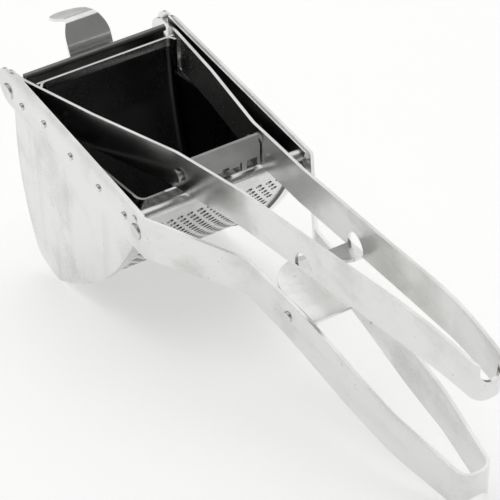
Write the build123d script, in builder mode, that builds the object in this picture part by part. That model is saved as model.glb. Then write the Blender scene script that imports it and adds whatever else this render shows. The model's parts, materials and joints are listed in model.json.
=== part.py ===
"""Potato ricer: a pressed steel hopper on a strap handle, with a lever that carries a wedge presser.

Everything is modelled in the hopper's own frame, where X runs from the hopper's front rim back
to the handle's end, Y runs across and Z up from the hopper's top edge.  At the end the whole
tool is laid down on its rounded toe and the end of its handle, as it rests on a table.
Left and right are those of somebody holding the handle and looking along it to the hopper.
"""
from build123d import *
import math
import os

os.makedirs("parts", exist_ok=True)

# ------------------------------------------------------------------ driving dimensions, mm
# hopper
hopper_width = 86.0  # across the outer faces of the side plates
hopper_front = -4.6  # front edge of the side plates at the top
hopper_back = 121.0  # rear edge of the side plates at the top
hopper_depth = 107.0  # from the top edge down to the toe
front_straight = 38.0  # depth over which the front wall is flat
front_lean = 1.5  # how far it leans forward over that depth
rear_bow = 13.2  # how far the rear wall bows out of its chord
toe_front = 9.5  # where the front curve reaches the toe
toe_length = 20.0  # short flat at the toe, before its rounds
toe_radius = 10.0
side_sheet = 1.2
wall_sheet = 1.0
lip_width = 3.0  # turned edge of a side plate, over the wall
rim_radius = 3.0  # rolled rear rim of the wall
rim_wire = 4.0  # diameter of the rod inside it
front_rim_radius = 1.7
front_rim_wire_size = 1.8
rim_drop = 5.5  # centre of the rear rim below the top edge
front_rim_drop = 4.6

# perforation
hole_diameter = 3.2
hole_pitch = 5.2
hole_rows_start = 19.0  # plain band below the top edge
hole_rows_end = 11.0  # plain band before the toe
hole_side_margin = 6.5

# lower handle: one long strap on edge, round the hopper and back
strap_thickness = 1.5
side_strip_height = 24.0
ear_x = -7.5
ear_radius = 10.0
neck_start = 123.5  # where the sides start to come together behind the hopper
neck_end = 168.0
neck_half = 18.0
waist_x = 276.0
waist_half = 12.9
handle_end = 319.0
handle_tip_half = 6.7
handle_tip_radius = 6.0
handle_notch_radius = 7.5
handle_notch_drop = 1.0  # centre of the notch below the bottom edge

# lever
pivot_x = -8.0
pivot_z = -14.5
lever_end_radius = 9.6
lever_rise = 0.2015  # slope of the arms when the lever is shut
lever_end = 323.0
lever_shoulder_x = 55.0
lever_shoulder_half = 31.6
lever_neck_x = 112.0
lever_neck_half = 20.0
lever_grip_x = 160.0
lever_grip_half = 15.2
lever_waist_x = 285.0
lever_waist_half = 9.0
lever_tip_half = 5.8
lever_tip_radius = 4.8
finger_tab_x = 201.5  # front edge of the tabs lanced from the lever
finger_tab_width = 13.0
finger_tab_height = 10.5
finger_tab_gap = 2.0  # between the tips of the two tabs
top_notch_radius = 5.0
top_notch_depth = 9.5

# presser
presser_width = 74.0
presser_front = 8.5
presser_depth = 96.0
presser_toe = 27.5
presser_toe_length = 12.0
presser_toe_radius = 5.0
presser_back = 106.5
presser_top = 2.0  # its front edge below the hopper's top edge
presser_bow = 6.7
presser_sheet = 1.2
presser_corner = 5.0  # rounded corners between its face and its sides
side_clear = 2.0  # sides of the presser below the lever's arms
presser_lip = 4.5  # straight band along its front edge
swivel_x = 115.0
swivel_z = 8.5
bracket_width = 35.6
bracket_reach = 6.0  # from the swivel to either end of its flanges
bracket_top = 20.0
bracket_bottom = 7.5
tongue_middle = 4.6
tongue_width = 5.8

# rest bracket on the handle, and pot hook
rest_back = 218.5
rest_middle = 195.0
rest_level = -2.2
rest_flange_height = 15.0
rest_rivet_x = 201.0
rest_rivet_z = -11.5
hook_width = 23.4
hook_sheet = 1.6
hook_foot = 22.0  # foot of its leg below the top edge
hook_top_x = -15.4
hook_top_z = 8.6
hook_tip_x = -39.0
hook_tip_z = -4.4
hook_bend = 2.6

# fasteners and fits
pivot_shank = 5.0
pivot_head = 8.4
corner_shank = 5.0
corner_head = 8.0
corner_rivet_x = 116.8
corner_rivet_z = -12.2
strip_shank = 2.4
strip_head = 3.8
strip_rivet_places = [(6.0, -14.6), (29.0, -9.8), (55.0, -11.6), (82.0, -11.5), (106.0, -10.6)]
swivel_shank = 4.0
swivel_head = 6.4
rest_shank = 3.0
rest_head = 5.0
tongue_shank = 2.4
tongue_head = 4.0
hook_rivet_spacing = 14.0
hook_rivet_z = -15.5
head_height = 0.9
running_fit = 0.05  # radial clearance of a pin in a part that turns on it
side_gap = 0.3  # between a fixed head and a part that turns beside it
arm_gap = 0.5  # between the lever's arms and the side plates
bracket_gap = 0.35

# ------------------------------------------------------------------ places that follow from them
half_width = hopper_width / 2
plate_inner = half_width - side_sheet
strap_middle = half_width + strap_thickness / 2
strap_outer = half_width + strap_thickness
arm_outer = plate_inner - arm_gap
arm_middle = arm_outer - strap_thickness / 2
arm_inner = arm_outer - strap_thickness
arm_clear_half = arm_inner - 1.6  # the front wall is no wider than this where the arms pass
arm_clear_z = pivot_z - lever_end_radius - 3.0
front_angle = math.atan2(front_lean, front_straight - 1.0)
row_pitch = hole_pitch * math.sqrt(3) / 2
top_z = -1.0


def front_face_x(z):
    """Where the flat part of the wall's front face is, at height z."""
    return hopper_front + side_sheet / math.cos(front_angle) + (z - top_z) * math.tan(front_angle)


rim_front_x = front_face_x(-front_rim_drop) + front_rim_radius / math.cos(front_angle)
rim_back_x = hopper_back - side_sheet - rim_radius - 0.6


def strap_path(points, radii):
    """Plan of a strap: the given half and its mirror image, as one rounded line."""
    other_half = [(x, -y) for x, y in reversed(points)]
    return FilletPolyline(*points, *other_half, radius=radii + radii[::-1])


def turned_rivet(plane, shank, head, grip, inner_head=True, inner_share=1.0):
    """A rivet on the plane's origin: domed head above the plane, shank of length grip below."""
    with BuildPart() as rivet:
        with BuildSketch(plane):
            Circle(head / 2)
        extrude(amount=head_height)
        fillet(rivet.faces().sort_by(Axis(plane.origin, plane.z_dir))[-1].edges(), head_height * 0.7)
        with BuildSketch(plane):
            Circle(shank / 2)
        extrude(amount=-grip)
        if inner_head:
            with BuildSketch(plane.offset(-grip)):
                Circle(head / 2 * inner_share)
            extrude(amount=-head_height * inner_share)
    return rivet.part


def side_plane(x, y, z):
    """Plane on a side of the tool, facing out along Y."""
    return Plane(origin=(x, y, z), x_dir=(1, 0, 0), z_dir=(0, math.copysign(1, y), 0))


# ------------------------------------------------------------------ side outlines, X back, Y up
front_line = Line((hopper_front, top_z), (hopper_front - front_lean, -front_straight))
front_arc = TangentArc(front_line @ 1, (toe_front, 3.0 - hopper_depth), tangent=front_line % 1)
toe_line = Line(front_arc @ 1, (toe_front + toe_length, -hopper_depth))
rear_chord = Line(toe_line @ 1, (hopper_back, top_z))
rear_out = Vector((rear_chord % 0.5).Y, -(rear_chord % 0.5).X)
rear_arc = ThreePointArc(toe_line @ 1, (rear_chord @ 0.5) + rear_out * rear_bow, rear_chord @ 1)

with BuildSketch() as hopper_side:
    with BuildLine():
        add([front_line, front_arc, toe_line, rear_arc])
        Line(rear_arc @ 1, front_line @ 0)
    make_face()
    fillet(hopper_side.vertices().sort_by(Axis.Y)[:2], toe_radius)

with BuildSketch() as inside_lips:
    add(hopper_side.sketch)
    offset(amount=-side_sheet, mode=Mode.REPLACE)

with BuildSketch() as inside_wall:
    add(hopper_side.sketch)
    offset(amount=-side_sheet - wall_sheet, mode=Mode.REPLACE)

# ------------------------------------------------------------------ side plates
with BuildPart() as side_plate_left:
    with BuildSketch(Plane.XZ.offset(plate_inner)):
        add(hopper_side.sketch)
        with Locations((pivot_x, pivot_z)):
            Circle(ear_radius - 1.2)
        with Locations((corner_rivet_x, corner_rivet_z)):
            Circle(corner_head * 0.62)
    extrude(amount=side_sheet)
    with BuildSketch(Plane.XZ.offset(plate_inner)):
        add(hopper_side.sketch)
        add(inside_lips.sketch, mode=Mode.SUBTRACT)
        with Locations((hopper_front, arm_clear_z / 2)):
            Rectangle(80, -arm_clear_z, mode=Mode.SUBTRACT)
        with Locations((hopper_back - 40, 0)):
            Rectangle(120, 2 * (rim_drop + rim_radius + 1.0), mode=Mode.SUBTRACT)
    extrude(amount=-lip_width)
    with BuildSketch(Plane.XZ):
        with Locations((pivot_x, pivot_z)):
            Circle(pivot_shank / 2)
        with Locations((corner_rivet_x, corner_rivet_z)):
            Circle(corner_shank / 2)
        with Locations((rim_back_x, -rim_drop)):
            Circle(rim_wire / 2)
        with Locations(*strip_rivet_places):
            Circle(strip_shank / 2)
    extrude(amount=strap_outer + 1, mode=Mode.SUBTRACT)

with BuildPart() as side_plate_right:
    mirror(side_plate_left.part, about=Plane.XZ)

# ------------------------------------------------------------------ perforated wall
hole_places = []
front_run = front_line.length + front_arc.length
row_count_front = int((front_run - hole_rows_start - hole_rows_end) / row_pitch) + 1
row_count_rear = int((rear_arc.length - hole_rows_start - hole_rows_end) / row_pitch) + 1
holes_across = int((2 * plate_inner - 2 * hole_side_margin) / hole_pitch)
for row in range(row_count_front + row_count_rear):
    if row < row_count_front:
        run = hole_rows_start + row * row_pitch
        curve = front_line if run < front_line.length else front_arc
        along = run / front_line.length if run < front_line.length else (
            (run - front_line.length) / front_arc.length)
    else:
        curve = rear_arc
        along = 1 - (hole_rows_start + (row - row_count_front) * row_pitch) / rear_arc.length
    point = curve @ along
    heading = curve % along
    stagger = 0.5 if row % 2 else 0.0
    for number in range(holes_across):
        across = (number - (holes_across - 1) / 2 + stagger - 0.25) * hole_pitch
        hole_places.append(Plane(origin=(point.X, across, point.Y), z_dir=(heading.Y, 0, -heading.X)))

hook_rivet_seats = [
    Plane(
        origin=(front_face_x(hook_rivet_z), side * hook_rivet_spacing / 2, hook_rivet_z),
        z_dir=(-math.cos(front_angle), 0, math.sin(front_angle)),
    )
    for side in (-1, 1)
]

with BuildPart() as perforated_wall:
    with BuildSketch(Plane.XZ):
        add(inside_lips.sketch)
        add(inside_wall.sketch, mode=Mode.SUBTRACT)
        with Locations((hopper_back, 0)):
            Rectangle(hopper_back, 2 * rim_drop, mode=Mode.SUBTRACT)
        with Locations((0, 0)):
            Rectangle(hopper_back, 2 * front_rim_drop, mode=Mode.SUBTRACT)
    extrude(amount=plate_inner, both=True)
    for side in (-1, 1):
        with BuildSketch(Plane.XZ.offset(side * (arm_clear_half + plate_inner) / 2)):
            with Locations((hopper_front, arm_clear_z / 2)):
                Rectangle(60, -arm_clear_z)
        extrude(amount=(plate_inner - arm_clear_half) / 2 + 0.001, both=True, mode=Mode.SUBTRACT)
    with Locations(*hole_places):
        Cylinder(hole_diameter / 2, 6, mode=Mode.SUBTRACT)
    with Locations(*hook_rivet_seats):
        Cylinder(rest_shank / 2, 6, mode=Mode.SUBTRACT)
    with BuildSketch(Plane.XZ):
        with Locations((rim_front_x, -front_rim_drop)):
            Circle(front_rim_radius)
    extrude(amount=arm_clear_half, both=True)
    with BuildSketch(Plane.XZ):
        with Locations((rim_back_x, -rim_drop)):
            Circle(rim_radius)
    extrude(amount=plate_inner, both=True)
    with BuildSketch(Plane.XZ):
        with Locations((rim_front_x, -front_rim_drop)):
            Circle(front_rim_wire_size / 2)
        with Locations((rim_back_x, -rim_drop)):
            Circle(rim_wire / 2)
    extrude(amount=half_width, both=True, mode=Mode.SUBTRACT)

with BuildPart() as front_rim_wire:
    with BuildSketch(Plane.XZ):
        with Locations((rim_front_x, -front_rim_drop)):
            Circle(front_rim_wire_size / 2)
    extrude(amount=arm_clear_half - 0.4, both=True)

with BuildPart() as rear_rim_rod:
    with BuildSketch(Plane.XZ):
        with Locations((rim_back_x, -rim_drop)):
            Circle(rim_wire / 2)
    extrude(amount=strap_outer + 0.4, both=True)

# ------------------------------------------------------------------ handle strap
grip_angle = math.atan2(neck_half - waist_half, waist_x - neck_end)


def grip_middle(x):
    """Half width of the handle strap's middle surface, along its straight grip."""
    return neck_half - (x - neck_end) * math.tan(grip_angle)


with BuildPart() as handle_strap:
    with BuildSketch(Plane.XY.offset(-80)):
        with BuildLine():
            strap_path(
                [
                    (ear_x - ear_radius - 5, strap_middle),
                    (neck_start, strap_middle),
                    (neck_end, neck_half),
                    (waist_x, waist_half),
                    (handle_end - strap_thickness / 2, handle_tip_half),
                ],
                [6.0, 15.0, 60.0, handle_tip_radius],
            )
        trace(line_width=strap_thickness)
    extrude(amount=160)
    with BuildSketch(Plane.XZ):
        with BuildLine():
            ear = ThreePointArc(
                (ear_x, -2.0 - 2 * ear_radius),
                (ear_x - ear_radius, -2.0 - ear_radius),
                (ear_x, -2.0),
            )
            shoulder = Spline(ear @ 1, (0.5, 0.0), tangents=[(1, 0.0), (1, 0)])
            top = Line(shoulder @ 1, (neck_start - 4.0, 0.0))
            top_back = Spline(
                top @ 1,
                (neck_end, -2.4),
                (neck_end + 44.0, -2.6),
                (waist_x - 26.0, -7.2),
                (waist_x + 12.0, -11.0),
                (handle_end + 1.0, -13.5),
                tangents=[(1, 0), (1, -0.06)],
            )
            tip = Line(top_back @ 1, (handle_end + 1.0, -32.6))
            low_back = Spline(
                tip @ 1,
                (waist_x + 12.0, -32.0),
                (waist_x - 36.0, -28.8),
                (neck_end + 46.0, -25.0),
                (neck_end + 18.0, -22.6),
                (neck_start, 1.0 - side_strip_height),
                tangents=[(-1, 0.0), (-1, 0)],
            )
            low = Line(low_back @ 1, (24.0, -side_strip_height))
            Spline(low @ 1, ear @ 0, tangents=[(-1, 0), (-1, 0)])
        make_face()
    extrude(amount=60, both=True, mode=Mode.INTERSECT)
    with BuildSketch(Plane.YZ.offset(handle_end - 12)):
        with Locations((0, -32.6 - handle_notch_drop)):
            Circle(handle_notch_radius)
    extrude(amount=20, mode=Mode.SUBTRACT)
    with BuildSketch(Plane.XZ):
        with Locations((pivot_x, pivot_z)):
            Circle(pivot_shank / 2)
        with Locations((corner_rivet_x, corner_rivet_z)):
            Circle(corner_shank / 2)
        with Locations((rim_back_x, -rim_drop)):
            Circle(rim_wire / 2)
        with Locations(*strip_rivet_places):
            Circle(strip_shank / 2)
    extrude(amount=strap_outer + 1, both=True, mode=Mode.SUBTRACT)
    with Locations(
        Plane(origin=(rest_rivet_x, grip_middle(rest_rivet_x), rest_rivet_z),
              z_dir=(math.sin(grip_angle), math.cos(grip_angle), 0)),
        Plane(origin=(rest_rivet_x, -grip_middle(rest_rivet_x), rest_rivet_z),
              z_dir=(math.sin(grip_angle), -math.cos(grip_angle), 0)),
    ):
        Cylinder(rest_shank / 2, 4 * strap_thickness, mode=Mode.SUBTRACT)

# ------------------------------------------------------------------ rest bracket on the handle
flange_shift = strap_thickness / math.cos(grip_angle)
face_shift = flange_shift / 2


def flange_line(x, side, shift):
    """Point on a line parallel to the strap's grip, shifted inwards."""
    return (x, side * (grip_middle(x) - shift))


rest_front_x = rest_middle - 2.0
with BuildPart() as handle_rest:
    with BuildSketch(Plane.XY.offset(rest_level - strap_thickness)):
        with Locations((rest_middle, 0)):
            Circle(grip_middle(rest_middle) - face_shift)
        with Locations(((rest_middle + rest_back) / 2, 0)):
            Rectangle(rest_back - rest_middle, 60)
        with BuildLine():
            Polyline(
                flange_line(neck_end, 1, face_shift),
                flange_line(rest_back, 1, face_shift),
                flange_line(rest_back, -1, face_shift),
                flange_line(neck_end, -1, face_shift),
                close=True,
            )
        make_face(mode=Mode.INTERSECT)
    extrude(amount=strap_thickness)
    for side in (-1, 1):
        with BuildSketch(Plane.XY.offset(rest_level - rest_flange_height)):
            with BuildLine():
                Polyline(
                    flange_line(rest_front_x, side, face_shift),
                    flange_line(rest_back, side, face_shift),
                    flange_line(rest_back, side, face_shift + flange_shift),
                    flange_line(rest_front_x, side, face_shift + flange_shift),
                    close=True,
                )
            make_face()
        extrude(amount=rest_flange_height)
    with Locations(
        Plane(origin=(rest_rivet_x, grip_middle(rest_rivet_x), rest_rivet_z),
              z_dir=(math.sin(grip_angle), math.cos(grip_angle), 0)),
        Plane(origin=(rest_rivet_x, -grip_middle(rest_rivet_x), rest_rivet_z),
              z_dir=(math.sin(grip_angle), -math.cos(grip_angle), 0)),
    ):
        Cylinder(rest_shank / 2, 8 * strap_thickness, mode=Mode.SUBTRACT)

with BuildPart() as handle_rest_rivets:
    for side in (-1, 1):
        outward = Vector(math.sin(grip_angle), side * math.cos(grip_angle), 0)
        seat = Vector(rest_rivet_x, side * grip_middle(rest_rivet_x), rest_rivet_z)
        seat = seat + outward * (strap_thickness / 2)
        add(turned_rivet(Plane(origin=seat, z_dir=outward), rest_shank, rest_head, 2 * strap_thickness))

# ------------------------------------------------------------------ pot hook
hook_middle_x = front_face_x(0) - hook_sheet / 2 / math.cos(front_angle)
hook_waist_half = hook_width * 0.345
hook_tongue_half = hook_width * 0.385
with BuildPart() as pot_hook:
    with BuildSketch(Plane.XZ):
        with BuildLine():
            FilletPolyline(
                (hook_middle_x - hook_foot * math.tan(front_angle), -hook_foot),
                (hook_middle_x - 9.0 * math.tan(front_angle), -9.0),
                (hook_middle_x - 4.2, hook_top_z - 8.2),
                (hook_top_x, hook_top_z),
                (hook_tip_x, hook_tip_z),
                radius=[8.0, 10.0, hook_bend],
            )
        trace(line_width=hook_sheet)
    extrude(amount=hook_width / 2, both=True)
    with BuildSketch(Plane.XY.offset(-hook_foot - 10)):
        with BuildLine():
            near_side = Line((10, -hook_width / 2), (hook_middle_x - 3.0, -hook_width / 2))
            near_neck = Spline(
                near_side @ 1,
                (hook_top_x, -hook_waist_half),
                ((hook_top_x + hook_tip_x) / 2, -hook_tongue_half),
                (hook_tip_x + 6.0, -hook_tongue_half * 0.9),
                tangents=[(-1, 0), (-1, 0.12)],
            )
            tip = ThreePointArc(
                near_neck @ 1,
                (hook_tip_x + 0.6, 0),
                (hook_tip_x + 6.0, hook_tongue_half * 0.9),
            )
            far_neck = Spline(
                tip @ 1,
                ((hook_top_x + hook_tip_x) / 2, hook_tongue_half),
                (hook_top_x, hook_waist_half),
                (hook_middle_x - 3.0, hook_width / 2),
                tangents=[(1, 0.12), (1, 0)],
            )
            Polyline(far_neck @ 1, (10, hook_width / 2), near_side @ 0)
        make_face()
    extrude(amount=60, mode=Mode.INTERSECT)
    with Locations(*hook_rivet_seats):
        Cylinder(rest_shank / 2, 8, mode=Mode.SUBTRACT)

with BuildPart() as pot_hook_rivets:
    for seat in hook_rivet_seats:
        inside = Plane(origin=seat.offset(-wall_sheet).origin, z_dir=-seat.z_dir)
        add(turned_rivet(inside, rest_shank, rest_head, hook_sheet + wall_sheet, False))

# ------------------------------------------------------------------ fasteners of the hopper
with BuildPart() as strip_rivets_left:
    for x, z in strip_rivet_places:
        add(turned_rivet(side_plane(x, -strap_outer, z), strip_shank, strip_head,
                         strap_outer - plate_inner, False))

with BuildPart() as strip_rivets_right:
    mirror(strip_rivets_left.part, about=Plane.XZ)

corner_seat = side_plane(corner_rivet_x, -strap_outer, corner_rivet_z)
with BuildPart() as corner_rivet_left:
    add(turned_rivet(corner_seat, corner_shank, corner_head, strap_outer - plate_inner, False))

with BuildPart() as corner_rivet_right:
    mirror(corner_rivet_left.part, about=Plane.XZ)

pivot_seat = side_plane(pivot_x, -strap_outer, pivot_z)
with BuildPart() as pivot_pin_left:
    add(turned_rivet(pivot_seat, pivot_shank, pivot_head, strap_outer - arm_inner + side_gap,
                     inner_share=0.75))

with BuildPart() as pivot_pin_right:
    mirror(pivot_pin_left.part, about=Plane.XZ)

# ------------------------------------------------------------------ lever strap


def lever_middle(x):
    """Half width of the lever strap's middle surface, along its straight grip."""
    run = (x - lever_grip_x) / (lever_waist_x - lever_grip_x)
    return lever_grip_half + run * (lever_waist_half - lever_grip_half)


def arm_low(x):
    """Height of the arms' lower edge over the hopper, with the lever shut."""
    return pivot_z - lever_end_radius * math.hypot(1, lever_rise) + (x - pivot_x) * lever_rise


arm_cos = 1 / math.hypot(1, lever_rise)
arm_sin = lever_rise * arm_cos
end_top = (pivot_x - lever_end_radius * arm_sin, pivot_z + lever_end_radius * arm_cos)
end_tip = (pivot_x - lever_end_radius * arm_cos, pivot_z - lever_end_radius * arm_sin)
end_low = (pivot_x + lever_end_radius * arm_sin, pivot_z - lever_end_radius * arm_cos)
finger_tab_low = 10.9 + (finger_tab_x - 170) * 0.1625
tab_back_x = finger_tab_x + finger_tab_width
tab_back_low = finger_tab_low + finger_tab_width * 0.1625

with BuildPart() as lever_band:
    with BuildSketch(Plane.XY.offset(-60)):
        with BuildLine():
            strap_path(
                [
                    (pivot_x - lever_end_radius - 5, arm_middle),
                    (1.0, arm_middle),
                    (lever_shoulder_x, lever_shoulder_half),
                    (lever_neck_x, lever_neck_half),
                    (lever_grip_x, lever_grip_half),
                    (lever_waist_x, lever_waist_half),
                    (lever_end - strap_thickness / 2, lever_tip_half),
                ],
                [20.0, 60.0, 40.0, 60.0, 60.0, lever_tip_radius],
            )
        trace(line_width=strap_thickness)
    extrude(amount=140)
    with BuildSketch(Plane.XZ):
        with BuildLine():
            lever_round = ThreePointArc(end_low, end_tip, end_top)
            arm_top = Line(lever_round @ 1, (60.0, arm_low(60.0) + 2 * lever_end_radius / arm_cos))
            grip_top = Spline(
                arm_top @ 1,
                (120.0, 21.2),
                (180.0, 32.2),
                (240.0, 42.4),
                (290.0, 50.0),
                (lever_end + 1.0, 49.4),
                tangents=[(arm_cos, arm_sin), (1, -0.1)],
            )
            lever_tip = Line(grip_top @ 1, (lever_end + 1.0, 31.6))
            grip_low = Spline(
                lever_tip @ 1,
                (300.0, 31.0),
                (270.0, 27.2),
                (230.0, 20.8),
                (190.0, 14.2),
                (150.0, 7.3),
                (110.0, -0.6),
                (60.0, arm_low(60.0)),
                tangents=[(-1, 0), (-arm_cos, -arm_sin)],
            )
            Line(grip_low @ 1, lever_round @ 0)
        make_face()
    extrude(amount=60, both=True, mode=Mode.INTERSECT)
    with BuildSketch(Plane.YZ.offset(lever_end - 14)):
        with Locations((0, 50.0 - top_notch_depth + top_notch_radius)):
            Circle(top_notch_radius)
        with Locations((0, 60.0 - top_notch_depth + top_notch_radius)):
            Rectangle(2 * top_notch_radius, 20)
    extrude(amount=20, mode=Mode.SUBTRACT)
    with BuildSketch(Plane.XZ):
        with BuildLine():
            arch_foot = (finger_tab_x, finger_tab_low - 5)
            Polyline((tab_back_x, finger_tab_low + 4), (tab_back_x, finger_tab_low - 5), arch_foot,
                     (finger_tab_x, finger_tab_low + 4))
            ThreePointArc(
                (finger_tab_x, finger_tab_low + 4),
                (finger_tab_x + finger_tab_width / 2, finger_tab_low + finger_tab_height),
                (tab_back_x, finger_tab_low + 4),
            )
        make_face()
    extrude(amount=60, both=True, mode=Mode.SUBTRACT)
    with BuildSketch(Plane.XZ):
        with Locations((pivot_x, pivot_z)):
            Circle(pivot_shank / 2 + running_fit)
        with Locations((swivel_x, swivel_z)):
            Circle(swivel_shank / 2)
    extrude(amount=60, both=True, mode=Mode.SUBTRACT)

with BuildPart() as finger_tab:
    with BuildSketch(Plane.XY.offset(-10)):
        with BuildLine():
            Polyline(
                (finger_tab_x, -lever_middle(finger_tab_x) - strap_thickness / 2),
                (tab_back_x, -lever_middle(tab_back_x) - strap_thickness / 2),
                (tab_back_x, -finger_tab_gap / 2),
                (finger_tab_x, -finger_tab_gap / 2),
                close=True,
            )
        face = make_face()
        fillet(face.vertices().sort_by(Axis.Y)[-2:].sort_by(Axis.X)[1:], finger_tab_width * 0.6)
    extrude(amount=60)
    with BuildSketch(Plane.XZ):
        with BuildLine():
            Polyline(
                (finger_tab_x, finger_tab_low),
                (tab_back_x, tab_back_low),
                (tab_back_x, tab_back_low + strap_thickness),
                (finger_tab_x, finger_tab_low + strap_thickness),
                close=True,
            )
        make_face()
    extrude(amount=60, mode=Mode.INTERSECT)

with BuildPart() as lever_strap:
    add(lever_band.part)
    add(finger_tab.part)
    mirror(finger_tab.part, about=Plane.XZ)

swivel_seat_y = 21.4
swivel_inner_y = bracket_width / 2 - strap_thickness - side_gap
with BuildPart() as swivel_rivet_left:
    add(turned_rivet(side_plane(swivel_x, -swivel_seat_y, swivel_z), swivel_shank, swivel_head,
                     swivel_seat_y - swivel_inner_y))

with BuildPart() as swivel_rivet_right:
    mirror(swivel_rivet_left.part, about=Plane.XZ)

# ------------------------------------------------------------------ presser shell
press_front = ThreePointArc(
    (presser_front, -presser_top),
    (presser_front + 3.2, -0.42 * presser_depth),
    (presser_toe, 7.0 - presser_depth),
)
press_toe = Line(press_front @ 1, (presser_toe + presser_toe_length, 2.0 - presser_depth))
press_chord = Line(press_toe @ 1, (presser_back, -6.0))
press_out = Vector((press_chord % 0.5).Y, -(press_chord % 0.5).X)
press_rear = ThreePointArc(press_toe @ 1, (press_chord @ 0.5) + press_out * presser_bow, press_chord @ 1)

with BuildSketch() as press_outer:
    with BuildLine():
        add([press_front, press_toe, press_rear])
        Line(press_rear @ 1, press_front @ 0)
    make_face()
    fillet(press_outer.vertices().sort_by(Axis.Y)[:2], presser_toe_radius)

tongue_seats = [
    Plane(
        origin=((press_rear @ 0.92).X, side * tongue_middle, (press_rear @ 0.92).Y),
        z_dir=((press_rear % 0.92).Y, 0, -(press_rear % 0.92).X),
    )
    for side in (-1, 1)
]

with BuildPart() as presser_shell:
    with BuildSketch(Plane.XZ):
        add(press_outer.sketch)
    extrude(amount=presser_width / 2, both=True)
    for side in (-1, 1):
        rim = presser_shell.edges().filter_by(
            lambda edge: abs(edge.center().Y - side * presser_width / 2) < 0.01
            and edge.center().Z < -3.5 - presser_top
        )
        fillet(rim, presser_corner)
    top_faces = presser_shell.faces().sort_by(Axis.Z)[-1:]
    offset(amount=-presser_sheet, openings=top_faces)
    for side in (-1, 1):
        with BuildSketch(Plane.XZ.offset(side * presser_width / 2)):
            with BuildLine():
                Polyline(
                    (presser_front + 4.0, arm_low(presser_front + 4.0) - side_clear),
                    (presser_back + 3.0, arm_low(presser_back + 3.0) - side_clear - 1.5),
                    (presser_back + 3.0, 30.0),
                    (presser_front + 4.0, 30.0),
                    close=True,
                )
            make_face()
        extrude(amount=presser_corner + 0.5, both=True, mode=Mode.SUBTRACT)
    with BuildSketch(Plane.XZ):
        with BuildLine():
            Polyline(
                (presser_front, -presser_top),
                (presser_front + presser_sheet, -presser_top),
                (presser_front + presser_sheet + 0.1, -presser_top - presser_lip),
                (presser_front + 0.1, -presser_top - presser_lip),
                close=True,
            )
        make_face()
    extrude(amount=presser_width / 2, both=True)
    with Locations(*tongue_seats):
        Cylinder(tongue_shank / 2, 8, mode=Mode.SUBTRACT)

# ------------------------------------------------------------------ presser's hinge bracket
bracket_half = bracket_width / 2
plate_back_x = swivel_x + bracket_reach
tongue_depth = presser_sheet + strap_thickness / 2


def inside_rear(along, depth):
    """Point at the given depth inside the presser's rear face."""
    heading = press_rear % along
    return (press_rear @ along) + Vector(-heading.Y, heading.X) * depth


with BuildPart() as presser_hinge_bracket:
    with BuildSketch(Plane.XZ):
        with Locations((swivel_x, swivel_z)):
            Circle(bracket_reach)
        with Locations((swivel_x + bracket_reach / 2, swivel_z)):
            Rectangle(bracket_reach, 2 * bracket_reach)
    extrude(amount=bracket_half, both=True)
    with BuildSketch(Plane.XZ):
        with Locations((swivel_x + 0.0, swivel_z)):
            Rectangle(2 * bracket_reach + 2, 2 * bracket_reach + 2)
    extrude(amount=bracket_half - strap_thickness, both=True, mode=Mode.SUBTRACT)
    with BuildSketch(Plane.YZ.offset(plate_back_x)):
        with Locations((0, (bracket_top + bracket_bottom) / 2)):
            Rectangle(bracket_width - 1.2, bracket_top - bracket_bottom)
        with Locations((2.1 * tongue_middle, bracket_bottom), (-2.1 * tongue_middle, bracket_bottom)):
            Rectangle(2.6, 10.0)
    extrude(amount=-strap_thickness)
    for side in (-1, 1):
        with BuildSketch(Plane.XZ.offset(side * tongue_middle)):
            with BuildLine():
                tongue_arc = ThreePointArc(
                    inside_rear(0.87, tongue_depth),
                    inside_rear(0.93, tongue_depth),
                    inside_rear(0.99, tongue_depth),
                )
                tongue_rise = Line(tongue_arc @ 1, (tongue_arc @ 1) + (tongue_arc % 1) * 1.6)
                Polyline(
                    tongue_rise @ 1,
                    (plate_back_x - strap_thickness / 2, bracket_bottom - 1.0),
                    (plate_back_x - strap_thickness / 2, bracket_bottom + 1.5),
                )
            trace(line_width=strap_thickness)
        extrude(amount=tongue_width / 2, both=True)
    with BuildSketch(Plane.XZ):
        with Locations((swivel_x, swivel_z)):
            Circle(swivel_shank / 2 + running_fit)
    extrude(amount=60, both=True, mode=Mode.SUBTRACT)
    with Locations(*tongue_seats):
        Cylinder(tongue_shank / 2, 8, mode=Mode.SUBTRACT)

with BuildPart() as presser_bracket_rivets:
    for seat in tongue_seats:
        add(turned_rivet(seat, tongue_shank, tongue_head, presser_sheet + strap_thickness + 0.02))

# ------------------------------------------------------------------ laid down to rest, and written
pieces = {
    "side_plate_left": side_plate_left,
    "side_plate_right": side_plate_right,
    "perforated_wall": perforated_wall,
    "handle_strap": handle_strap,
    "front_rim_wire": front_rim_wire,
    "rear_rim_rod": rear_rim_rod,
    "pot_hook": pot_hook,
    "pot_hook_rivets": pot_hook_rivets,
    "strip_rivets_left": strip_rivets_left,
    "strip_rivets_right": strip_rivets_right,
    "corner_rivet_left": corner_rivet_left,
    "corner_rivet_right": corner_rivet_right,
    "handle_rest": handle_rest,
    "handle_rest_rivets": handle_rest_rivets,
    "pivot_pin_left": pivot_pin_left,
    "pivot_pin_right": pivot_pin_right,
    "lever_strap": lever_strap,
    "swivel_rivet_left": swivel_rivet_left,
    "swivel_rivet_right": swivel_rivet_right,
    "presser_shell": presser_shell,
    "presser_hinge_bracket": presser_hinge_bracket,
    "presser_bracket_rivets": presser_bracket_rivets,
}


def lowest(shape, tilt):
    """Lowest point of a shape once it is tilted, handle end down."""
    return shape.moved(Location((0, 0, 0), (0, tilt, 0))).bounding_box().min.Z


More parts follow.
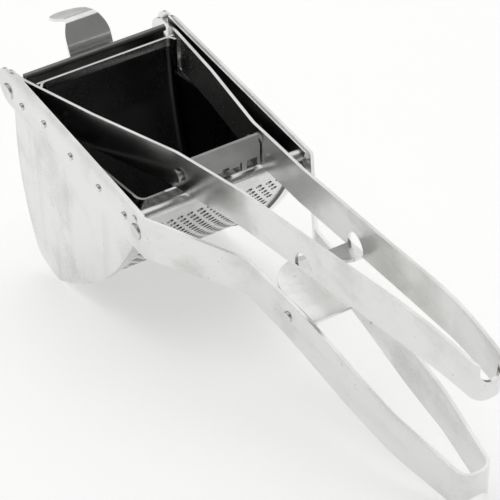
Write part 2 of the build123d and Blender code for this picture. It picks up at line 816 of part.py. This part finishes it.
tilt_low = 5.0
tilt_high = 30.0
for _ in range(24):
    tilt = (tilt_low + tilt_high) / 2
    if lowest(handle_strap.part, tilt) > lowest(side_plate_left.part, tilt):
        tilt_low = tilt
    else:
        tilt_high = tilt

tilted = Location((0, 0, 0), (0, tilt, 0))
whole = Compound(children=[piece.part.moved(tilted) for piece in pieces.values()]).bounding_box()
resting = Location((-whole.center().X, 0, -whole.min.Z)) * tilted

for name, piece in pieces.items():
    piece.part = piece.part.moved(resting)
side_plate_left.part.label = "side_plate_left"
export_step(side_plate_left.part, "parts/side_plate_left.step")
side_plate_right.part.label = "side_plate_right"
export_step(side_plate_right.part, "parts/side_plate_right.step")
perforated_wall.part.label = "perforated_wall"
export_step(perforated_wall.part, "parts/perforated_wall.step", write_pcurves=False)
handle_strap.part.label = "handle_strap"
export_step(handle_strap.part, "parts/handle_strap.step")
front_rim_wire.part.label = "front_rim_wire"
export_step(front_rim_wire.part, "parts/front_rim_wire.step")
rear_rim_rod.part.label = "rear_rim_rod"
export_step(rear_rim_rod.part, "parts/rear_rim_rod.step")
pot_hook.part.label = "pot_hook"
export_step(pot_hook.part, "parts/pot_hook.step")
pot_hook_rivets.part.label = "pot_hook_rivets"
export_step(pot_hook_rivets.part, "parts/pot_hook_rivets.step")
strip_rivets_left.part.label = "strip_rivets_left"
export_step(strip_rivets_left.part, "parts/strip_rivets_left.step")
strip_rivets_right.part.label = "strip_rivets_right"
export_step(strip_rivets_right.part, "parts/strip_rivets_right.step")
corner_rivet_left.part.label = "corner_rivet_left"
export_step(corner_rivet_left.part, "parts/corner_rivet_left.step")
corner_rivet_right.part.label = "corner_rivet_right"
export_step(corner_rivet_right.part, "parts/corner_rivet_right.step")
handle_rest.part.label = "handle_rest"
export_step(handle_rest.part, "parts/handle_rest.step")
handle_rest_rivets.part.label = "handle_rest_rivets"
export_step(handle_rest_rivets.part, "parts/handle_rest_rivets.step")
pivot_pin_left.part.label = "pivot_pin_left"
export_step(pivot_pin_left.part, "parts/pivot_pin_left.step")
pivot_pin_right.part.label = "pivot_pin_right"
export_step(pivot_pin_right.part, "parts/pivot_pin_right.step")
lever_strap.part.label = "lever_strap"
export_step(lever_strap.part, "parts/lever_strap.step")
swivel_rivet_left.part.label = "swivel_rivet_left"
export_step(swivel_rivet_left.part, "parts/swivel_rivet_left.step")
swivel_rivet_right.part.label = "swivel_rivet_right"
export_step(swivel_rivet_right.part, "parts/swivel_rivet_right.step")
presser_shell.part.label = "presser_shell"
export_step(presser_shell.part, "parts/presser_shell.step")
presser_hinge_bracket.part.label = "presser_hinge_bracket"
export_step(presser_hinge_bracket.part, "parts/presser_hinge_bracket.step")
presser_bracket_rivets.part.label = "presser_bracket_rivets"
export_step(presser_bracket_rivets.part, "parts/presser_bracket_rivets.step")
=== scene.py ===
"""A potato ricer in bright plated steel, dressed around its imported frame.

The hopper is a pair of pressed side plates and a punched wall, held in one long strap that is
also the lower handle.  A second strap is the lever, and swings a wedge-shaped presser.
Everything is in metres in the frame's own axes: +X along the handle, +Z up.
"""
import json
import logging
import math
from dataclasses import dataclass, field
from enum import Enum
from typing import Any, Callable, Optional, Union

import bmesh
import bpy
from mathutils import Matrix, Vector
from mathutils.bvhtree import BVHTree


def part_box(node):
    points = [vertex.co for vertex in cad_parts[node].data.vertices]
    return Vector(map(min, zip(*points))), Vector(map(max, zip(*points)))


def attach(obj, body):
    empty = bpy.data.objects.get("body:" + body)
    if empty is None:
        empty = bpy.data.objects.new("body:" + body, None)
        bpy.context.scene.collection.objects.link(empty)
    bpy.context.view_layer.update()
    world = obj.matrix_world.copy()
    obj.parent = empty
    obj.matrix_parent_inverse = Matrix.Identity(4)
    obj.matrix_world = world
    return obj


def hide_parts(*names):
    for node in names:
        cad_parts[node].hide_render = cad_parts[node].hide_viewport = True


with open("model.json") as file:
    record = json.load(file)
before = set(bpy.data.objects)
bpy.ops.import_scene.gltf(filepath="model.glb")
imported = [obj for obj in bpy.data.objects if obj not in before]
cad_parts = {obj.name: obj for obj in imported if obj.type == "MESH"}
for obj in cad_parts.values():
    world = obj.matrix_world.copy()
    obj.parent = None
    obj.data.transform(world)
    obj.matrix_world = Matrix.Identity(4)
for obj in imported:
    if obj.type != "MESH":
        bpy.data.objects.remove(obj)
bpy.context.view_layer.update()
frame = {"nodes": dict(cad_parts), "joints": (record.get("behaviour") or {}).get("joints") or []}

MM = 0.001
log = logging.getLogger("ricer")


# ---------------------------------------------------------------------------- shading


Value = Union[float, "Signal"]


@dataclass(frozen=True)
class Signal:
    """One number that varies over a surface, with arithmetic that adds Math nodes."""

    kit: "NodeKit"
    socket: bpy.types.NodeSocket

    def _math(self, operation: str, first: Value, second: Value, clamp: bool = False) -> "Signal":
        """Adds one Math node.

        Args:
            operation: the Math node's operation.
            first: its first value.
            second: its second value.
            clamp: whether the result is held between 0 and 1.

        Returns:
            The node's result.
        """
        node = self.kit.add(
            "ShaderNodeMath", {"operation": operation, "use_clamp": clamp}, {0: first, 1: second}
        )
        return Signal(self.kit, node.outputs[0])

    def __add__(self, other: Value) -> "Signal":
        """Sum."""
        return self._math("ADD", self, other)

    def __radd__(self, other: Value) -> "Signal":
        """Sum with a number on the left."""
        return self._math("ADD", other, self)

    def __sub__(self, other: Value) -> "Signal":
        """Difference."""
        return self._math("SUBTRACT", self, other)

    def __rsub__(self, other: Value) -> "Signal":
        """Difference from a number."""
        return self._math("SUBTRACT", other, self)

    def __mul__(self, other: Value) -> "Signal":
        """Product."""
        return self._math("MULTIPLY", self, other)

    def __rmul__(self, other: Value) -> "Signal":
        """Product with a number on the left."""
        return self._math("MULTIPLY", other, self)

    def clamped(self) -> "Signal":
        """The same value held between 0 and 1."""
        return self._math("ADD", self, 0.0, clamp=True)

    def above(self, low: float, high: float) -> "Signal":
        """A smooth mask, 0 below low and 1 above high.

        Args:
            low: where the mask starts.
            high: where it is full.

        Returns:
            The mask.
        """
        node = self.kit.add(
            "ShaderNodeMapRange",
            {"interpolation_type": "SMOOTHSTEP", "clamp": True},
            {"Value": self, "From Min": low, "From Max": high, "To Min": 0.0, "To Max": 1.0},
        )
        return Signal(self.kit, node.outputs["Result"])


@dataclass
class NodeKit:
    """Adds nodes to one material and links them."""

    material: bpy.types.Material

    @property
    def tree(self) -> bpy.types.NodeTree:
        """The material's node tree."""
        return self.material.node_tree

    def add(self, kind: str, settings: dict[str, Any], values: dict[Any, Any]) -> bpy.types.Node:
        """Adds a node.

        Args:
            kind: the node's type.
            settings: its properties, which are set first.
            values: by socket name or number, a constant, a socket or a Signal.

        Returns:
            The new node.
        """
        node = self.tree.nodes.new(kind)
        for name, setting in settings.items():
            setattr(node, name, setting)
        for name, value in values.items():
            source = value.socket if isinstance(value, Signal) else value
            if isinstance(source, bpy.types.NodeSocket):
                self.tree.links.new(source, node.inputs[name])
            else:
                node.inputs[name].default_value = source
        return node

    def place(self, scale: tuple[float, float, float], turn: tuple[float, float, float]) -> bpy.types.NodeSocket:
        """Object coordinates, turned and then stretched.

        Args:
            scale: stretch along each turned axis.
            turn: rotation in radians.

        Returns:
            The coordinates' socket.
        """
        source = self.add("ShaderNodeTexCoord", {}, {}).outputs["Object"]
        turned = self.add(
            "ShaderNodeMapping", {"vector_type": "POINT"}, {"Vector": source, "Rotation": turn}
        )
        stretched = self.add(
            "ShaderNodeMapping", {"vector_type": "POINT"}, {"Vector": turned.outputs[0], "Scale": scale}
        )
        return stretched.outputs[0]

    def noise(self, place: bpy.types.NodeSocket, scale: float, detail: float = 3.0, roughness: float = 0.55) -> Signal:
        """Fractal noise.

        Args:
            place: coordinates.
            scale: repeats per metre.
            detail: octaves.
            roughness: weight of the finer octaves.

        Returns:
            The noise, about 0.5 on average.
        """
        node = self.add(
            "ShaderNodeTexNoise",
            {},
            {"Vector": place, "Scale": scale, "Detail": detail, "Roughness": roughness},
        )
        return Signal(self, node.outputs["Fac"])

    def blend(self, factor: Value, first: Any, second: Any) -> bpy.types.NodeSocket:
        """Mixes two colours.

        Args:
            factor: share of the second colour.
            first: colour or socket.
            second: colour or socket.

        Returns:
            The mixed colour's socket.
        """
        node = self.add("ShaderNodeMix", {"data_type": "RGBA"}, {})
        for name, value in (("Factor", factor), ("A", first), ("B", second)):
            sockets = [s for s in node.inputs if s.name == name and s.enabled]
            socket = sockets[0] if name == "Factor" else [s for s in sockets if s.type == "RGBA"][0]
            source = value.socket if isinstance(value, Signal) else value
            if isinstance(source, bpy.types.NodeSocket):
                self.tree.links.new(source, socket)
            else:
                socket.default_value = source
        return [s for s in node.outputs if s.type == "RGBA"][0]


Colour = tuple[float, float, float]


def grey(level: float) -> Colour:
    """A neutral colour of that level."""
    return (level, level, level * 0.99)


@dataclass(frozen=True)
class PlatedSteel:
    """Bright plating over sheet steel: fine draw lines, a soft cloud of wear, and small pits."""

    name: str
    bright: Colour = (0.8, 0.8, 0.79)
    worn: Colour = (0.62, 0.615, 0.6)
    roughness: float = 0.2
    cloud: float = 0.1
    grain: float = 0.05
    turn: tuple[float, float, float] = (0.0, math.radians(-14.5), 0.0)
    stretch: tuple[float, float, float] = (0.06, 1.0, 1.0)
    bump: float = 0.04
    spots: float = 0.5

    def build(self) -> bpy.types.Material:
        """Makes the material.

        Returns:
            The finished material.
        """
        material = bpy.data.materials.new(self.name)
        material.use_nodes = True
        kit = NodeKit(material)
        shader = kit.tree.nodes["Principled BSDF"]
        even = kit.place((1.0, 1.0, 1.0), (0.0, 0.0, 0.0))
        drawn = kit.place(self.stretch, self.turn)
        cloud = kit.noise(even, 38.0, 4.0, 0.6)
        lines = kit.noise(drawn, 900.0, 3.0, 0.6)
        bands = kit.noise(drawn, 90.0, 2.0, 0.5)
        fleck = kit.noise(even, 700.0, 2.0, 0.5)
        wear = (cloud.above(0.42, 0.7) * 0.55 + bands.above(0.45, 0.7) * 0.3).clamped()
        pits = fleck.above(0.68, 0.76) * self.spots
        colour = kit.blend(wear, (*self.bright, 1.0), (*self.worn, 1.0))
        pitted = kit.blend(pits, colour, (*[0.5 * c for c in self.worn], 1.0))
        rough = self.roughness + wear * self.cloud + (lines - 0.5) * self.grain + pits * 0.12
        relief = kit.add(
            "ShaderNodeBump",
            {},
            {"Strength": self.bump, "Distance": 0.0004, "Height": lines * 0.5 + cloud * 0.8},
        )
        kit.tree.links.new(pitted, shader.inputs["Base Color"])
        kit.tree.links.new(rough.clamped().socket, shader.inputs["Roughness"])
        kit.tree.links.new(relief.outputs["Normal"], shader.inputs["Normal"])
        shader.inputs["Metallic"].default_value = 1.0
        return material


@dataclass(frozen=True)
class Backdrop:
    """The plain pale surface that the tool rests on."""

    level: float = 0.93
    glow: float = 0.42

    def build(self) -> bpy.types.Material:
        """Makes the material."""
        material = bpy.data.materials.new("pale_table")
        material.use_nodes = True
        kit = NodeKit(material)
        shader = kit.tree.nodes["Principled BSDF"]
        tone = kit.noise(kit.place((1.0, 1.0, 1.0), (0.0, 0.0, 0.0)), 3.0, 2.0)
        colour = kit.blend(tone, (*grey(self.level), 1.0), (*grey(self.level * 0.99), 1.0))
        kit.tree.links.new(colour, shader.inputs["Base Color"])
        shader.inputs["Roughness"].default_value = 0.6
        shader.inputs["Emission Color"].default_value = (1.0, 1.0, 1.0, 1.0)
        shader.inputs["Emission Strength"].default_value = self.glow
        return material


# ---------------------------------------------------------------------------- pieces


class Body(Enum):
    """The rigid bodies of the frame."""

    HOPPER = "hopper"
    LEVER = "lever"
    PRESSER = "presser"


class Slot(Enum):
    """The record's material slots."""

    STRAP = "strap_steel"
    SHEET = "sheet_steel"
    PRESSER = "presser_steel"
    FASTENER = "fastener_steel"


FaceTest = Callable[[bmesh.types.BMFace], bool]


def box_middle(node: str) -> Vector:
    """The middle of a node's box at rest."""
    low, high = (Vector(corner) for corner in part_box(node))
    return (low + high) / 2


def faces_middle(face: bmesh.types.BMFace) -> bool:
    """Whether a face looks towards the tool's middle plane."""
    return face.normal.y * face.calc_center_median().y < 0.0 and abs(face.normal.y) > 0.4


@dataclass
class Piece:
    """One visible piece that stands for a node of the frame."""

    node: str
    body: Body
    slot: Slot
    finish: bpy.types.Material
    edge_round: float = 0.25 * MM
    crease: float = math.radians(28.0)
    rounds: int = 2
    weld: float = 0.002 * MM
    # A second, darker finish paints shade on the faces that look into the piece's hollow; the test picks those faces.
    shade_finish: Optional[bpy.types.Material] = None
    shade_test: Optional[FaceTest] = None
    reach: float = 0.15

    def paint_shade(self, work: bmesh.types.BMesh) -> None:
        """Paints shade: the faces that look into the piece's own hollow get the darker shade finish.

        Args:
            work: the surface, whose faces get their material numbers.
        """
        if self.shade_finish is None:
            return
        tree = BVHTree.FromBMesh(work)
        for face in work.faces:
            if self.shade_test is not None:
                inner = self.shade_test(face)
            else:
                start = face.calc_center_median() + face.normal * 0.05 * MM
                inner = tree.ray_cast(start, face.normal, self.reach)[0] is not None
            # Material 1 is the painted shade.
            face.material_index = 1 if inner else 0

    def surface(self) -> bmesh.types.BMesh:
        """The node's surface with its loose triangles joined and its flats made whole.

        Returns:
            A new bmesh.
        """
        work = bmesh.new()
        work.from_mesh(frame["nodes"][self.node].data)
        bmesh.ops.remove_doubles(work, verts=work.verts[:], dist=self.weld)
        bmesh.ops.dissolve_degenerate(work, edges=work.edges[:], dist=self.weld)
        bmesh.ops.dissolve_limit(
            work,
            angle_limit=math.radians(0.4),
            verts=work.verts[:],
            edges=work.edges[:],
            delimit={"NORMAL"},
        )
        return work

    def finish_mesh(self, work: bmesh.types.BMesh) -> bpy.types.Object:
        """Turns a bmesh into the finished, dressed piece.

        Args:
            work: the surface, freed here.

        Returns:
            The new object, riding on its body.
        """
        self.paint_shade(work)
        for face in work.faces:
            face.smooth = True
        for edge in work.edges:
            edge.smooth = len(edge.link_faces) == 2 and edge.calc_face_angle(0.0) < self.crease
        mesh = bpy.data.meshes.new(self.node + "_steel")
        work.to_mesh(mesh)
        work.free()
        piece = bpy.data.objects.new(self.node + "_steel", mesh)
        bpy.context.scene.collection.objects.link(piece)
        mesh.materials.append(self.finish)
        # The second slot holds the painted shade.
        if self.shade_finish is not None:
            mesh.materials.append(self.shade_finish)
        if self.edge_round > 0.0:
            bevel = piece.modifiers.new("softened_edges", "BEVEL")
            bevel.width = self.edge_round
            bevel.segments = self.rounds
            bevel.limit_method = "ANGLE"
            bevel.angle_limit = self.crease
            bevel.harden_normals = True
            bevel.use_clamp_overlap = True
        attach(piece, self.body.value)
        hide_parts(self.node)
        log.info("%s: %d faces", piece.name, len(mesh.polygons))
        return piece

    def build(self) -> bpy.types.Object:
        """Makes the piece from the node's own surface."""
        return self.finish_mesh(self.surface())


@dataclass
class Finishes:
    """The steels used on the tool, with darker copies that paint shade into the hollows and onto the swivel rivets."""

    strap: bpy.types.Material = field(default_factory=lambda: PlatedSteel("bright_strap").build())
    plate: bpy.types.Material = field(
        default_factory=lambda: PlatedSteel("side_plate_steel", roughness=0.24, stretch=(1.0, 1.0, 0.08)).build()
    )
    wall: bpy.types.Material = field(
        default_factory=lambda: PlatedSteel(
            "punched_sheet", bright=grey(0.72), worn=grey(0.55), roughness=0.26, spots=0.3
        ).build()
    )
    # Painted shade: a dark copy of the plated steel for the faces that look into the hopper and for the front rim.
    inside: bpy.types.Material = field(
        default_factory=lambda: PlatedSteel(
            "hopper_painted_shade", bright=grey(0.2), worn=grey(0.13), roughness=0.3, stretch=(1.0, 1.0, 0.05)
        ).build()
    )
    presser: bpy.types.Material = field(
        default_factory=lambda: PlatedSteel(
            "presser_sheet", bright=grey(0.6), worn=grey(0.46), roughness=0.22, stretch=(1.0, 1.0, 0.04)
        ).build()
    )
    # Painted shade: a near-black copy of the presser steel for the presser's inner faces.
    presser_painted_shade: bpy.types.Material = field(
        default_factory=lambda: PlatedSteel(
            "presser_hollow_painted_shade",
            bright=grey(0.13),
            worn=grey(0.06),
            roughness=0.24,
            cloud=0.06,
            stretch=(1.0, 1.0, 0.04),
            spots=0.2,
        ).build()
    )
    # A dark grey copy of the plated steel, a little rougher than the straps.
    bracket: bpy.types.Material = field(
        default_factory=lambda: PlatedSteel(
            "dark_grey_bracket", bright=grey(0.3), worn=grey(0.22), roughness=0.34
        ).build()
    )
    fastener: bpy.types.Material = field(
        default_factory=lambda: PlatedSteel("rivet_steel", roughness=0.26, stretch=(1.0, 1.0, 1.0)).build()
    )
    # Painted shade: a darker copy of the rivet steel for the swivel rivets, also a little rougher.
    shaded_fastener: bpy.types.Material = field(
        default_factory=lambda: PlatedSteel(
            "rivet_painted_shade", bright=grey(0.4), worn=grey(0.3), roughness=0.32, stretch=(1.0, 1.0, 1.0)
        ).build()
    )


@dataclass
class Hopper:
    """The hopper with its strap handle, hook and rest."""

    finishes: Finishes
    front_rim_reach: float = 3.4 * MM

    def wall_test(self) -> FaceTest:
        """Makes the test for the wall's faces, with the frame's boxes read once.

        Returns:
            Whether a face gets painted shade: it looks into the hopper or is on the front rim.
        """
        rim = box_middle("front_rim_wire")
        centre = box_middle("perforated_wall")

        def inside(face: bmesh.types.BMFace) -> bool:
            """Whether one face takes the painted shade: inner, or on the front rim."""
            middle = face.calc_center_median()
            off = Vector((middle.x - rim.x, 0.0, middle.z - rim.z))
            # A face on the front rim takes the painted shade too.
            if off.length < self.front_rim_reach:
                return True
            inward = Vector((centre.x - middle.x, 0.0, centre.z - middle.z))
            return face.normal.dot(inward.normalized()) > 0.2

        return inside

    def build(self) -> None:
        """Makes every piece that stays still."""
        look = self.finishes
        body = Body.HOPPER
        Piece("handle_strap", body, Slot.STRAP, look.strap).build()
        # The side plates' faces towards the middle get painted shade.
        for node in ("side_plate_left", "side_plate_right"):
            Piece(
                node, body, Slot.SHEET, look.plate, shade_finish=look.inside, shade_test=faces_middle
            ).build()
        # The wall's inner faces and its front rim get painted shade.
        Piece(
            "perforated_wall",
            body,
            Slot.SHEET,
            look.wall,
            edge_round=0.0,
            shade_finish=look.inside,
            shade_test=self.wall_test(),
        ).build()
        Piece("pot_hook", body, Slot.STRAP, look.strap, edge_round=0.35 * MM).build()
        Piece("handle_rest", body, Slot.STRAP, look.strap).build()
        Piece("rear_rim_rod", body, Slot.FASTENER, look.fastener).build()
        Piece("front_rim_wire", body, Slot.FASTENER, look.fastener).build()
        for node in (
            "pot_hook_rivets",
            "strip_rivets_left",
            "strip_rivets_right",
            "corner_rivet_left",
            "corner_rivet_right",
            "handle_rest_rivets",
            "pivot_pin_left",
            "pivot_pin_right",
        ):
            Piece(node, body, Slot.FASTENER, look.fastener, edge_round=0.1 * MM).build()


@dataclass
class Lever:
    """The lever strap and the rivets that the presser hangs on."""

    finishes: Finishes

    def build(self) -> None:
        """Makes the lever's pieces."""
        Piece("lever_strap", Body.LEVER, Slot.STRAP, self.finishes.strap).build()
        # The swivel rivets get the darker rivet steel, which paints shade on them.
        for node in ("swivel_rivet_left", "swivel_rivet_right"):
            Piece(node, Body.LEVER, Slot.FASTENER, self.finishes.shaded_fastener, edge_round=0.1 * MM).build()


@dataclass
class Presser:
    """The wedge-shaped presser and its hinge bracket."""

    finishes: Finishes

    def build(self) -> None:
        """Makes the presser's pieces."""
        look = self.finishes
        # The presser's hollow faces get painted shade.
        Piece(
            "presser_shell",
            Body.PRESSER,
            Slot.PRESSER,
            look.presser,
            edge_round=0.15 * MM,
            shade_finish=look.presser_painted_shade,
        ).build()
        Piece("presser_hinge_bracket", Body.PRESSER, Slot.PRESSER, look.bracket).build()
        Piece("presser_bracket_rivets", Body.PRESSER, Slot.FASTENER, look.fastener).build()


# ---------------------------------------------------------------------------- stage


@dataclass(frozen=True)
class Softbox:
    """One large rectangular light that points at the tool."""

    name: str
    azimuth: float
    elevation: float
    distance: float
    width: float
    height: float
    power: float

    def build(self, aim: Vector) -> None:
        """Hangs the light.

        Args:
            aim: what it points at.
        """
        data = bpy.data.lights.new(self.name, "AREA")
        data.shape = "RECTANGLE"
        data.size = self.width
        data.size_y = self.height
        data.energy = self.power
        lamp = bpy.data.objects.new(self.name, data)
        bpy.context.scene.collection.objects.link(lamp)
        turn = math.radians(self.azimuth)
        rise = math.radians(self.elevation)
        away = Vector((math.sin(turn) * math.cos(rise), -math.cos(turn) * math.cos(rise), math.sin(rise)))
        lamp.matrix_world = Matrix.Translation(aim + away * self.distance) @ away.to_track_quat(
            "Z", "Y"
        ).to_matrix().to_4x4()


@dataclass
class Studio:
    """Table, lights and camera."""

    aim_from_hinge: tuple[float, float, float] = (0.151601, 0.0, -0.044848)
    distance: float = 1.1438
    azimuth: float = math.radians(63.785)
    elevation: float = math.radians(28.025)
    roll: float = math.radians(-8.99)
    lens: float = 184.9
    shift_x: float = -0.0205
    shift_y: float = 0.0033
    world_level: float = 0.22
    table_size: float = 8.0
    lights: tuple[Softbox, ...] = (
        Softbox("overhead", 244.0, 80.0, 1.3, 2.0, 2.0, 10.5),
        Softbox("far_side", 244.0, 30.0, 1.8, 1.4, 0.7, 2.3),
    )

    @property
    def aim(self) -> Vector:
        """The point that the camera and the lights look at, measured from the lever's hinge."""
        hinge = next(joint for joint in frame["joints"] if joint["name"] == "lever_hinge")
        return Vector(hinge["pos_m"]) + Vector(self.aim_from_hinge)

    def camera(self) -> None:
        """Places the camera and makes it the scene's."""
        data = bpy.data.cameras.new("camera")
        data.lens = self.lens
        data.shift_x = self.shift_x
        data.shift_y = self.shift_y
        data.clip_start = 0.01
        data.clip_end = 50.0
        camera = bpy.data.objects.new("camera", data)
        bpy.context.scene.collection.objects.link(camera)
        away = Vector(
            (
                math.sin(self.azimuth) * math.cos(self.elevation),
                -math.cos(self.azimuth) * math.cos(self.elevation),
                math.sin(self.elevation),
            )
        )
        level = away.to_track_quat("Z", "Y").to_matrix().to_4x4()
        camera.matrix_world = (
            Matrix.Translation(self.aim + away * self.distance) @ level @ Matrix.Rotation(self.roll, 4, "Z")
        )
        bpy.context.scene.camera = camera

    def table(self) -> None:
        """Lays the pale table."""
        work = bmesh.new()
        bmesh.ops.create_grid(work, x_segments=2, y_segments=2, size=self.table_size / 2)
        mesh = bpy.data.meshes.new("table")
        work.to_mesh(mesh)
        work.free()
        table = bpy.data.objects.new("table", mesh)
        bpy.context.scene.collection.objects.link(table)
        mesh.materials.append(Backdrop().build())

    def surroundings(self) -> None:
        """Fills the room with soft pale light."""
        world = bpy.data.worlds.new("studio")
        world.use_nodes = True
        world.node_tree.nodes["Background"].inputs["Color"].default_value = (*grey(self.world_level), 1.0)
        world.node_tree.nodes["Background"].inputs["Strength"].default_value = 1.0
        bpy.context.scene.world = world

    def build(self) -> None:
        """Sets the whole stage."""
        self.camera()
        self.table()
        self.surroundings()
        for light in self.lights:
            light.build(self.aim)


def main() -> None:
    """Builds the tool and its stage."""
    logging.basicConfig(level=logging.INFO)
    Studio().build()
    finishes = Finishes()
    Hopper(finishes).build()
    Lever(finishes).build()
    Presser(finishes).build()
    bpy.context.scene.view_settings.view_transform = "Standard"


if __name__ == "__main__":
    main()
